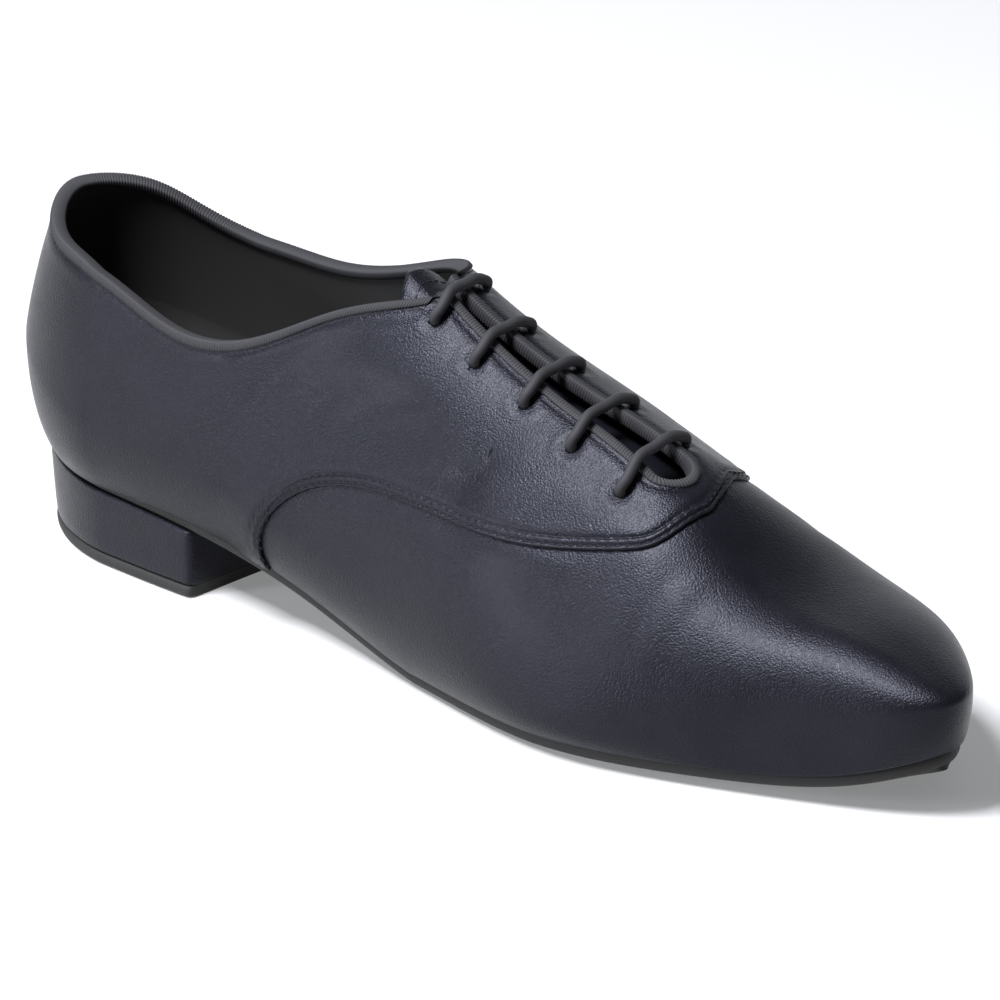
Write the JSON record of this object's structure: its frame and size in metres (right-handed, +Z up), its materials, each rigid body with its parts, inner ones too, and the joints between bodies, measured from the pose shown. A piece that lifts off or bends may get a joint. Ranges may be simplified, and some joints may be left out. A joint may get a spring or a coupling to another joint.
{
  "type": "ballroom dance shoe",
  "caption": "Men's right ballroom dance shoe: plain-toe leather oxford with tape-bound edges, straight laces, thin suede sole and low covered heel.",
  "frame": {"origin": "centre of the heel's tread, on the floor that the shoe stands on", "axes": "+X from the heel to the toe, +Y to the inner side of the foot, +Z up from the floor"},
  "size_m": [0.296, 0.0916, 0.0925],
  "materials": {
    "black_leather": "satin",
    "black_tape": "matte",
    "black_cord": "matte",
    "black_suede": "matte",
    "dark_lining": "matte"
  },
  "bodies": {
    "root": {"upper": "black_leather", "edge_binding": "black_tape", "tongue": "black_leather", "insole": "dark_lining", "outsole": "black_suede", "heel_block": "black_leather", "heel_top_piece": "black_suede", "lace": "black_cord"}
  },
  "joints": []
}
